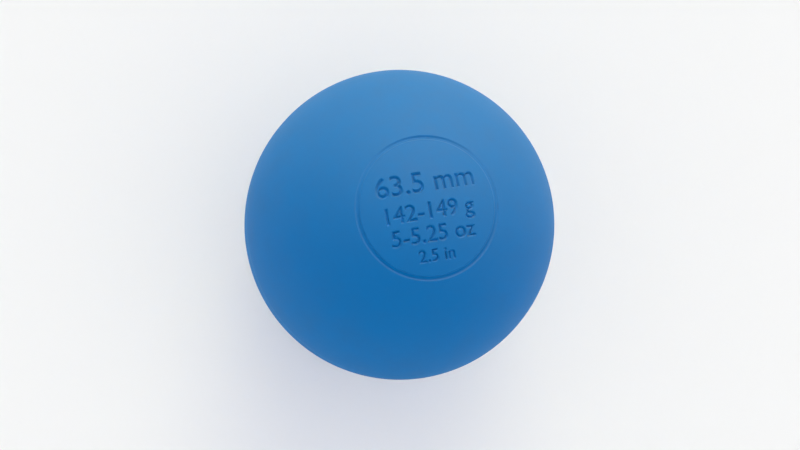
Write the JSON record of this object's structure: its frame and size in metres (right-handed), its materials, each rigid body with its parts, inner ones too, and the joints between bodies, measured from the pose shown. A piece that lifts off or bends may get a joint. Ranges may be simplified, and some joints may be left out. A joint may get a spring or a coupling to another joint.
{
  "type": "lacrosse ball",
  "caption": "Moulded rubber field ball of regulation size: a filled core bonded inside coloured half covers, with a grooved ring round the mark at a pole and a fine seam at the equator.",
  "frame": {"origin": "centre of the ball", "axes": "+Z along the mould's draw axis, out through the ringed mark; +X along the mark's line of numbers"},
  "size_m": [0.0634, 0.0634, 0.0636],
  "materials": {
    "core_rubber": "dark filled rubber, cut and buffed for bonding",
    "cover_rubber": "blue rubber, matt as it comes from the mould"
  },
  "bodies": {
    "root": {"core": "core_rubber", "upper_cover": "cover_rubber", "lower_cover": "cover_rubber"}
  },
  "joints": []
}
